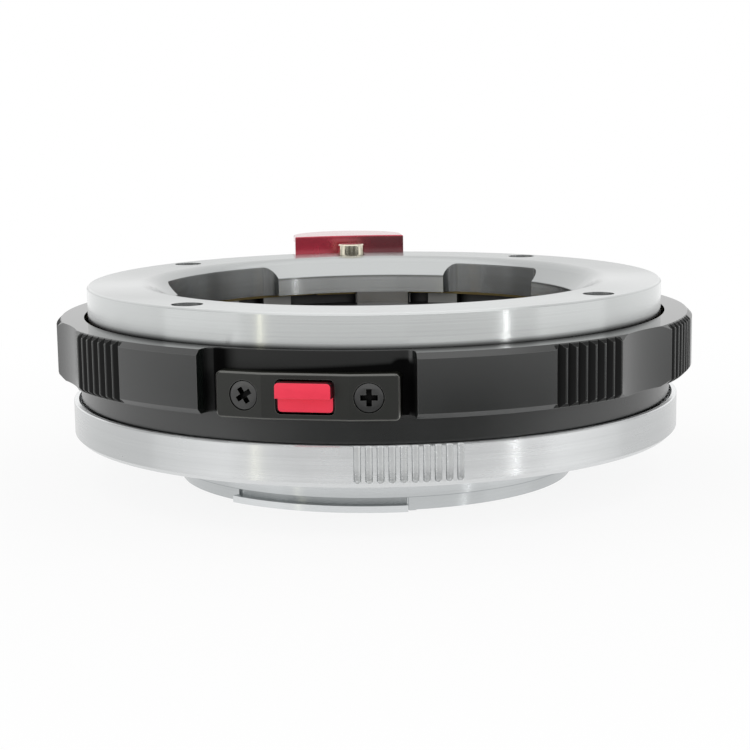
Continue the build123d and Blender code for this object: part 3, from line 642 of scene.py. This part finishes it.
def copies_at(pattern, places):
    """Copies the pattern to each place, each copy with its own mesh, and joins the copies into one piece."""
    made = []
    for matrix in places:
        select_only(pattern)
        bpy.ops.object.duplicate()
        copy = bpy.context.object
        copy.matrix_world = matrix
        bpy.ops.object.transform_apply(location=True, rotation=True, scale=True)
        made.append(copy)
    bpy.data.objects.remove(pattern)
    select_only(*made)
    bpy.ops.object.join()
    return made[0]


def settle(piece, name, body, node, material):
    """Rounds off the shading, names the piece, gives it its finish, hangs it on its body and hides the node
    it stands for.
    """
    select_only(piece)
    bpy.ops.object.transform_apply(location=True, rotation=True, scale=True)
    bpy.ops.object.shade_smooth_by_angle(angle=SMOOTH_UP_TO)
    piece.name = name
    piece.data.materials.clear()
    piece.data.materials.append(material)
    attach(piece, body)
    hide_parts(node)
    print(name, "has", sum(len(face.vertices) - 2 for face in piece.data.polygons), "triangles")


# %% [markdown]
# ## Cross-headed screws
# All the small screws have a flat head with a rounded rim and a cross whose arms taper towards the
# bottom, as the driver does. One screw starts as a rod for the head. Its lower face is inset to the
# shank's size, or drawn in to it under a countersunk head, then pulled down and drawn to a tip. The rim is
# bevelled, and two tapered blades cut the cross. Copies then stand where the CAD model has them.

# %% One cross-headed screw
SHANK_R, TIP_LENGTH, TIP_SHARE = 0.8, 0.2, 0.75
CROSS_LENGTH, CROSS_WIDTH, CROSS_DEPTH = 1.95, 0.54, 0.6
CROSS_TAPER = (0.6, 0.85, 1.0)
RIM_BEVEL, SUNK_RIM_BEVEL = 0.08, 0.02


def tapered_blade(turn):
    """One arm pair of the cross, narrower at its lower end."""
    blade = block((CROSS_LENGTH, CROSS_WIDTH, 2 * CROSS_DEPTH), (0, 0, 0))
    bpy.ops.object.mode_set(mode="EDIT")
    pick(blade, "FACE", looks_down)
    bpy.ops.transform.resize(value=CROSS_TAPER, center_override=(0, 0, -CROSS_DEPTH * MM))
    bpy.ops.object.mode_set(mode="OBJECT")
    blade.rotation_euler.z = turn
    bpy.ops.object.transform_apply(location=True, rotation=True, scale=True)
    return blade


def cross_screw(head_r, head_height, shank_length, countersunk=False):
    """A screw with its head's face at z = 0 and its shank downwards."""
    screw = rod(64, head_r, head_height, (0, 0, -head_height / 2))
    bpy.ops.object.mode_set(mode="EDIT")
    pick(screw, "FACE", looks_down)
    if countersunk:
        bpy.ops.transform.resize(value=(SHANK_R / head_r, SHANK_R / head_r, 1.0),
                                 center_override=(0, 0, -head_height * MM))
    else:
        bpy.ops.mesh.inset(thickness=(head_r - SHANK_R) * MM)
    for step in (TIP_LENGTH - shank_length, -TIP_LENGTH):
        bpy.ops.mesh.extrude_region_move(TRANSFORM_OT_translate={"value": (0, 0, step * MM)})
    bpy.ops.transform.resize(value=(TIP_SHARE, TIP_SHARE, 1.0),
                             center_override=(0, 0, -(head_height + shank_length) * MM))
    pick(screw, "EDGE", at_top)
    bpy.ops.mesh.bevel(offset=(SUNK_RIM_BEVEL if countersunk else RIM_BEVEL) * MM, segments=3)
    bpy.ops.object.mode_set(mode="OBJECT")
    for turn in (0.0, math.pi / 2):
        shape_with(screw, tapered_blade(turn), "DIFFERENCE")
    return screw


# %% Stand the screws in their places
LOCK_SCREW_R, LOCK_SCREW_STEP = 32.24, 10.2
FLANGE_SCREW_R, FLANGE_HEAD_Z, BAYONET_SCREW_R = 27.7, 15.15, 25.4


def corners(radius):
    """Four places round the optical axis, each halfway between two axes."""
    reach = radius * math.sqrt(0.5) * MM
    return [(sx * reach, sy * reach) for sx, sy in ((1, 1), (-1, 1), (-1, -1), (1, -1))]


lock_places = [facing(LOCK_AZ + step, LOCK_SCREW_R, LOCK_Z) @ turned(math.radians(turn))
               for step, turn in ((-LOCK_SCREW_STEP, 32.0), (LOCK_SCREW_STEP, 0.0))]
lock_screws = copies_at(cross_screw(head_r=1.34, head_height=0.94, shank_length=0.85), lock_places)
settle(lock_screws, "lock_screws_cross_headed", "focus_grip", "lock_plate_screws",
       screw_black)

flange_places = [Matrix.Translation((x, y, FLANGE_HEAD_Z * MM)) @ turned(0.35 * i + 0.2)
                 for i, (x, y) in enumerate(corners(FLANGE_SCREW_R))]
flange_screws = copies_at(cross_screw(head_r=1.45, head_height=1.05, shank_length=2.8), flange_places)
settle(flange_screws, "flange_screws_cross_headed", "lens_carriage", "flange_screws",
       screw_black)

upside_down = Matrix.Rotation(math.pi, 4, "X")
bayonet_places = [Matrix.Translation((x, y, 0)) @ upside_down @ turned(0.5 * i + 0.3)
                  for i, (x, y) in enumerate(corners(BAYONET_SCREW_R))]
bayonet_screws = copies_at(cross_screw(head_r=1.45, head_height=0.8, shank_length=1.3, countersunk=True),
                           bayonet_places)
settle(bayonet_screws, "bayonet_screws_cross_headed", "camera_side", "camera_bayonet_screws",
       spring_steel)

# %% [markdown]
# ## Sharp teeth on the grip
# Each valley of the grip has seven V grooves on either side. On the real ring the cutter went deep enough
# for neighbouring grooves to meet in a ridge no wider than a pencil line, and each ridge catches the light.
# One wedge is a block whose inner face is squeezed to an edge. Copies of it cut the ring in two rounds,
# every other groove at a time, so that no two wedges of a round touch.

# %% Cut the teeth
LOBE_R, TOOTH_PITCH, TOOTH_DEPTH, RIDGE = 33.2, 2.04, 0.54, 0.08
FIRST_TOOTH, TEETH, TOOTHED_VALLEYS = 9.12, 7, range(1, 6)
WEDGE_OVER, WEDGE_HEIGHT, WEDGE_Z = 0.4, 6.6, 9.35


def tooth_wedge():
    """A wedge whose edge lies at the groove's bottom, with x along the ring, y up and z outward."""
    half_width = math.radians(TOOTH_PITCH / 2) * LOBE_R - RIDGE / 2
    depth = TOOTH_DEPTH + WEDGE_OVER
    wedge = block((2 * half_width * depth / TOOTH_DEPTH, WEDGE_HEIGHT, depth), (0, 0, depth / 2))
    bpy.ops.object.mode_set(mode="EDIT")
    pick(wedge, "FACE", looks_down)
    bpy.ops.transform.resize(value=(0.0, 1.0, 1.0), center_override=(0, 0, 0))
    bpy.ops.mesh.select_all(action="SELECT")
    bpy.ops.mesh.remove_doubles(threshold=WELD)
    bpy.ops.mesh.normals_make_consistent(inside=False)
    bpy.ops.object.mode_set(mode="OBJECT")
    return wedge


grip = merged_copy("focus_ring")
grooves = [FIRST_VALLEY + VALLEY_STEP * valley + side * (FIRST_TOOTH + TOOTH_PITCH * tooth)
           for valley in TOOTHED_VALLEYS for side in (-1, 1) for tooth in range(TEETH)]
for start in (0, 1):
    places = [facing(azimuth, LOBE_R - TOOTH_DEPTH, WEDGE_Z) for azimuth in grooves[start::2]]
    shape_with(grip, copies_at(tooth_wedge(), places), "DIFFERENCE")
clean_faces(grip)
settle(grip, "grip_ring_toothed", "focus_grip", "focus_ring", grip_black)

# %% [markdown]
# ## Round walls that shade as round
# Cutting leaves long faces whose corners share normals unevenly, and a satin black shows it as smears. The
# walls of the grip are known forms, though: rings about the optical axis and scallops about the axis of
# each valley. So every corner on such a wall gets the normal of the true form, and flat faces stay flat.

# %% Give the grip its true normals
VALLEY_AXIS_R, SCALLOP_R, SCALLOP_OFF = 51.82, 19.52, 0.06
LEVEL_FACE, WRAPPED = 0.1, 0.9985
SMALL_FACE = 2.5 * MM * MM
OPTICAL_AXIS = Vector((0, 0, 0))
valley_axes = [outward(FIRST_VALLEY + VALLEY_STEP * valley) * VALLEY_AXIS_R * MM
               for valley in TOOTHED_VALLEYS]


def form_axis(face):
    """The axis that a face is wrapped round, or None for a flat one."""
    level = Vector((face.normal.x, face.normal.y, 0))
    if level.length < LEVEL_FACE:
        return None
    for axis in (*valley_axes, OPTICAL_AXIS):
        out = face.center - axis
        out.z = 0
        on_form = axis is OPTICAL_AXIS or abs(out.length - SCALLOP_R * MM) < SCALLOP_OFF * MM
        if on_form and abs(level.normalized().dot(out.normalized())) > WRAPPED:
            return axis
    return None


def corner_normal(mesh, face, loop):
    """The normal of the true form at one corner of a face."""
    axis = form_axis(face)
    if axis is None:
        return mesh.corner_normals[loop].vector if face.area < SMALL_FACE else face.normal
    out = mesh.vertices[mesh.loops[loop].vertex_index].co - axis
    level = Vector((out.x, out.y, 0)).normalized() * math.hypot(face.normal.x, face.normal.y)
    side = 1 if level.dot(face.normal) > 0 else -1
    return Vector((side * level.x, side * level.y, face.normal.z))


normals = [(0, 0, 1)] * len(grip.data.loops)
for face in grip.data.polygons:
    for loop in face.loop_indices:
        normals[loop] = tuple(corner_normal(grip.data, face, loop))
grip.data.normals_split_custom_set(normals)
print("set", len(normals), "corner normals")

# %% [markdown]
# ## The lock button
# A stepped red button: the thumb rests on the lower step and pushes against the upper one. It is one
# block, cut across its middle, with the upper half pulled out. The outer corners are rounded first and
# the rims afterwards, as on the real button, whose rims were broken with a fine file. A lip behind the
# plate and a thin stem are joined on.

# %% Model the lock button
BUTTON_W, BUTTON_H, BUTTON_BASE, STEP = 5.05, 2.78, 0.5, 1.15
BUTTON_R, BUTTON_CORNER, BUTTON_RIM = 32.0, 0.34, 0.07
LIP_THICK, LIP_WIDER, LIP_LOWER = 0.25, 0.9, 0.04
STEM_R, STEM_LENGTH, STEM_CENTRE = 0.4, 1.3, (0, -0.1, -0.95)
button = block((BUTTON_W, BUTTON_H, BUTTON_BASE), (0, 0, -BUTTON_BASE / 2))
bpy.ops.object.mode_set(mode="EDIT")
bpy.ops.mesh.select_all(action="SELECT")
bpy.ops.mesh.bisect(plane_co=(0, 0, 0), plane_no=(0, 1, 0))
pick(button, "FACE", lambda face: face.normal.z > 0.9 and face.calc_center_median().y > 0)
bpy.ops.mesh.extrude_region_move(TRANSFORM_OT_translate={"value": (0, 0, STEP * MM)})


def at_corner(edge):
    """Whether an edge is one of the button's outer corners, which run from front to back."""
    first, second = (vertex.co for vertex in edge.verts)
    upright = abs(first.x - second.x) + abs(first.y - second.y) < 1e-7
    return upright and abs(first.y) > 0.45 * BUTTON_H * MM


def on_front(edge):
    """Whether an edge is on the rim of the upper step or on the outer rim of the lower one."""
    heights = [vertex.co.z for vertex in edge.verts]
    outer = sum(vertex.co.y for vertex in edge.verts) / 2
    top = min(heights) > (STEP - 0.01) * MM
    low = max(abs(height) for height in heights) < 0.01 * MM and outer < -0.01 * MM
    return top or low


print("corners rounded:", pick(button, "EDGE", at_corner))
bpy.ops.mesh.bevel(offset=BUTTON_CORNER * MM, segments=5)
print("rims broken:", pick(button, "EDGE", on_front))
bpy.ops.mesh.bevel(offset=BUTTON_RIM * MM, segments=2)
bpy.ops.object.mode_set(mode="OBJECT")
lip = block((BUTTON_W + LIP_WIDER, BUTTON_H - LIP_LOWER, LIP_THICK), (0, 0, LIP_THICK / 2 - BUTTON_BASE))
shape_with(button, lip, "UNION")
shape_with(button, rod(32, STEM_R, STEM_LENGTH, STEM_CENTRE), "UNION")
button.matrix_world = facing(LOCK_AZ, BUTTON_R, LOCK_Z)
settle(button, "lock_button_stepped", "lock_button", "lock_button", button_red)

# %% [markdown]
# ## Set screws
# Three headless screws hold the grip on the helicoid. Each is a short rod with a bevelled rim and a
# six-sided socket for a key. They stand in the valleys at the back.

# %% Model the set screws
SET_R, SET_LENGTH, SET_RIM, SET_SCREW_R = 0.8, 1.5, 0.12, 32.1
SOCKET_R, SOCKET_DEPTH = 0.47, 0.8
set_screw = rod(48, SET_R, SET_LENGTH, (0, 0, -SET_LENGTH / 2))
bpy.ops.object.mode_set(mode="EDIT")
pick(set_screw, "EDGE", at_top)
bpy.ops.mesh.bevel(offset=SET_RIM * MM, segments=3)
bpy.ops.object.mode_set(mode="OBJECT")
shape_with(set_screw, rod(6, SOCKET_R, 2 * SOCKET_DEPTH, (0, 0, 0)), "DIFFERENCE")
set_places = [facing(FIRST_VALLEY + VALLEY_STEP * valley, SET_SCREW_R, LOCK_Z) for valley in (2, 3, 4)]
settle(copies_at(set_screw, set_places), "set_screws_socketed", "focus_grip", "focus_ring_set_screws",
       screw_black)

# %% [markdown]
# ## The springs
# Both springs are hidden: a coil of round wire under the lever's foot, and a bowed leaf behind the button.
# When a thumb presses, the real spring shortens between its seat and the piece that pushes it. A rigid mesh
# can't, and the lever would cut through it. Each spring here is a merged copy of its solid with a mesh of its
# own.


def springy(node, name, body):
    """Copies a spring into one merged skin with its own mesh and hangs it on its body in place of the node.
    """
    spring = merged_copy(node)
    settle(spring, name, body, node, spring_steel)
    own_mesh(spring)


springy("release_spring", "release_coil_sprung", "lens_carriage")
springy("lock_button_spring", "lock_leaf_sprung", "focus_grip")

# %% [markdown]
# ## Floor, light and camera
# The photograph is a cut-out on white: no horizon and hardly any shadow. The floor is a pale sheet that
# goes white towards the camera but still takes the shadow. In the metal's reflections it is bright behind
# and at the sides and greyer towards the camera, as a table between white walls is, and dark under the
# adapter, a painted shadow. The light is a studio tent: a large soft lamp above, one at each side, and two
# narrow strips in front that draw the bright upright lines on the silver.

# %% Floor
WHITE = (1, 1, 1, 1)
FLOOR_SIZE = 8.0
floor_z = cad_box[0].z
bpy.ops.object.select_all(action="DESELECT")
bpy.ops.mesh.primitive_plane_add(size=FLOOR_SIZE, location=(0, 0, floor_z))
floor = bpy.context.object
floor.name = "floor"


def light_path(graph):
    """Three wires that are one for a ray from the camera, of a reflection, or through glass."""
    return graph.node("ShaderNodeLightPath", {}, {},
                      out=("Is Camera Ray", "Is Glossy Ray", "Is Transmission Ray"))


sheet = Finish("pale floor", Base_Color=(0.9, 0.9, 0.9, 1.0), Roughness=0.9)
_, y, _ = spot(sheet)
radius, _ = section(sheet)
camera_ray, glossy_ray, clear_ray = light_path(sheet)
away = 0.86 + 0.14 * radius.rise(36, 110)
backwards = y / radius
spread = -0.62 + 0.95 * radius.rise(72, 105)
grey = (0.78 * radius.rise(40, 66) + 0.1) * (1 - 0.97 * radius.rise(112, 132))
towards_camera = (1 - backwards.rise(-1.0, spread)) * grey
beside = 0.12 * backwards.rise(-0.95, -0.5) * (1 - radius.rise(55, 85))
# In reflections the floor's glow fades out under the adapter, within 15 to 20 mm of the axis, as a painted
# shadow.
mirrored = (0.94 - towards_camera - beside + 0.08 * backwards.rise(0.0, 0.9)) * radius.rise(15, 20)
strength = 1 - glossy_ray * (1 - mirrored)
white = sheet.node("ShaderNodeEmission", {}, {"Color": WHITE, "Strength": strength})
lit = Wire(sheet, sheet.shader.outputs[0])
shown = camera_ray * away + glossy_ray + clear_ray
both = sheet.node("ShaderNodeMixShader", {}, {0: shown, 1: lit, 2: white})
sheet.tree.links.new(both.socket, sheet.tree.nodes["Material Output"].inputs["Surface"])
floor.data.materials.append(sheet.material)
print("floor at", round(floor_z / MM, 3), "mm")

# %% World
TENT_LIGHT = 0.82
world = bpy.data.worlds.new("studio tent")
bpy.context.scene.world = world
world.use_nodes = True
tent = Graph(world.node_tree)
direction = tent.node("ShaderNodeTexCoord", {}, {}, out="Generated")
y, z = tent.node("ShaderNodeSeparateXYZ", {}, {0: direction}, out=("Y", "Z"))
front = (0 - y).rise(0.0, 1.0)
behind = y.rise(0.0, 0.8)
walls = 0.76 + 0.32 * front + behind * (0.26 * z.rise(0.02, 0.09) - 0.02)
light = tent.node("ShaderNodeBackground", {}, {"Color": WHITE, "Strength": TENT_LIGHT})
camera_ray, glossy_ray, clear_ray = light_path(tent)
seen = tent.node("ShaderNodeBackground", {},
                 {"Color": WHITE, "Strength": camera_ray + (1 - camera_ray) * walls})
both = tent.node("ShaderNodeMixShader", {}, {0: camera_ray + glossy_ray + clear_ray, 1: light, 2: seen})
tent.tree.links.new(both.socket, tent.tree.nodes["World Output"].inputs["Surface"])
print("world set to", TENT_LIGHT)

# %% Lamps
LAMP_TARGET = Vector((0, 0, 0.006))


def soft_lamp(name, position, size, power, tint=(1, 1, 1)):
    """A rectangular lamp that looks at the middle of the adapter, in metres and watts."""
    lamp = bpy.data.lights.new(name, "AREA")
    lamp.shape = "RECTANGLE"
    lamp.size, lamp.size_y = size
    lamp.energy = power
    lamp.color = tint
    holder = bpy.data.objects.new(name, lamp)
    bpy.context.scene.collection.objects.link(holder)
    holder.location = position
    holder.rotation_euler = (LAMP_TARGET - Vector(position)).to_track_quat("-Z", "Y").to_euler()


soft_lamp("lamp overhead", (0, 0.02, 0.42), size=(0.5, 0.5), power=0.32)
soft_lamp("lamp left", (-0.42, -0.12, 0.16), size=(0.3, 0.34), power=0.15)
soft_lamp("lamp right", (0.42, -0.12, 0.16), size=(0.3, 0.34), power=0.15)
soft_lamp("strip left", (-0.36, -0.32, 0.09), size=(0.006, 0.3), power=0.035, tint=(1.0, 0.97, 0.7))
soft_lamp("strip right", (0.291, -0.309, 0.09), size=(0.004, 0.3), power=0.06)
print("lamps set:", len(bpy.data.lights))

# %% [markdown]
# ## The photograph's camera
# The rings of the adapter are circles, and their ellipses in the photograph give the camera: about 18 cm
# away, slightly above the top flange, with a moderate tele lens. The adapter is turned by about six
# degrees against that camera.

# %% Camera
FOCAL_PX, FRAME_PX, SENSOR = 1702.6, 750, 36
PITCH, YAW, ROLL = 0.1633, 0.0018, -0.0137
TURN = math.radians(-5.8)
EYE = Vector((-0.33, -179.53, 34.6)) * MM
forward = Vector((math.sin(YAW) * math.cos(PITCH), math.cos(YAW) * math.cos(PITCH), -math.sin(PITCH)))
right = Vector((math.cos(YAW), -math.sin(YAW), 0))
up = right.cross(forward)
right_rolled = math.cos(ROLL) * right + math.sin(ROLL) * up
up_rolled = -math.sin(ROLL) * right + math.cos(ROLL) * up
axes = Matrix((right_rolled, up_rolled, -forward)).transposed().to_4x4()
camera_data = bpy.data.cameras.new("photo camera")
camera_data.sensor_width = SENSOR
camera_data.lens = FOCAL_PX / FRAME_PX * SENSOR
camera_data.clip_start = 0.01
camera = bpy.data.objects.new("photo camera", camera_data)
bpy.context.scene.collection.objects.link(camera)
camera.matrix_world = turned(TURN) @ Matrix.Translation(EYE) @ axes
bpy.context.scene.camera = camera
bpy.context.scene.view_settings.view_transform = "Standard"
print("camera lens", round(camera_data.lens, 2), "mm")
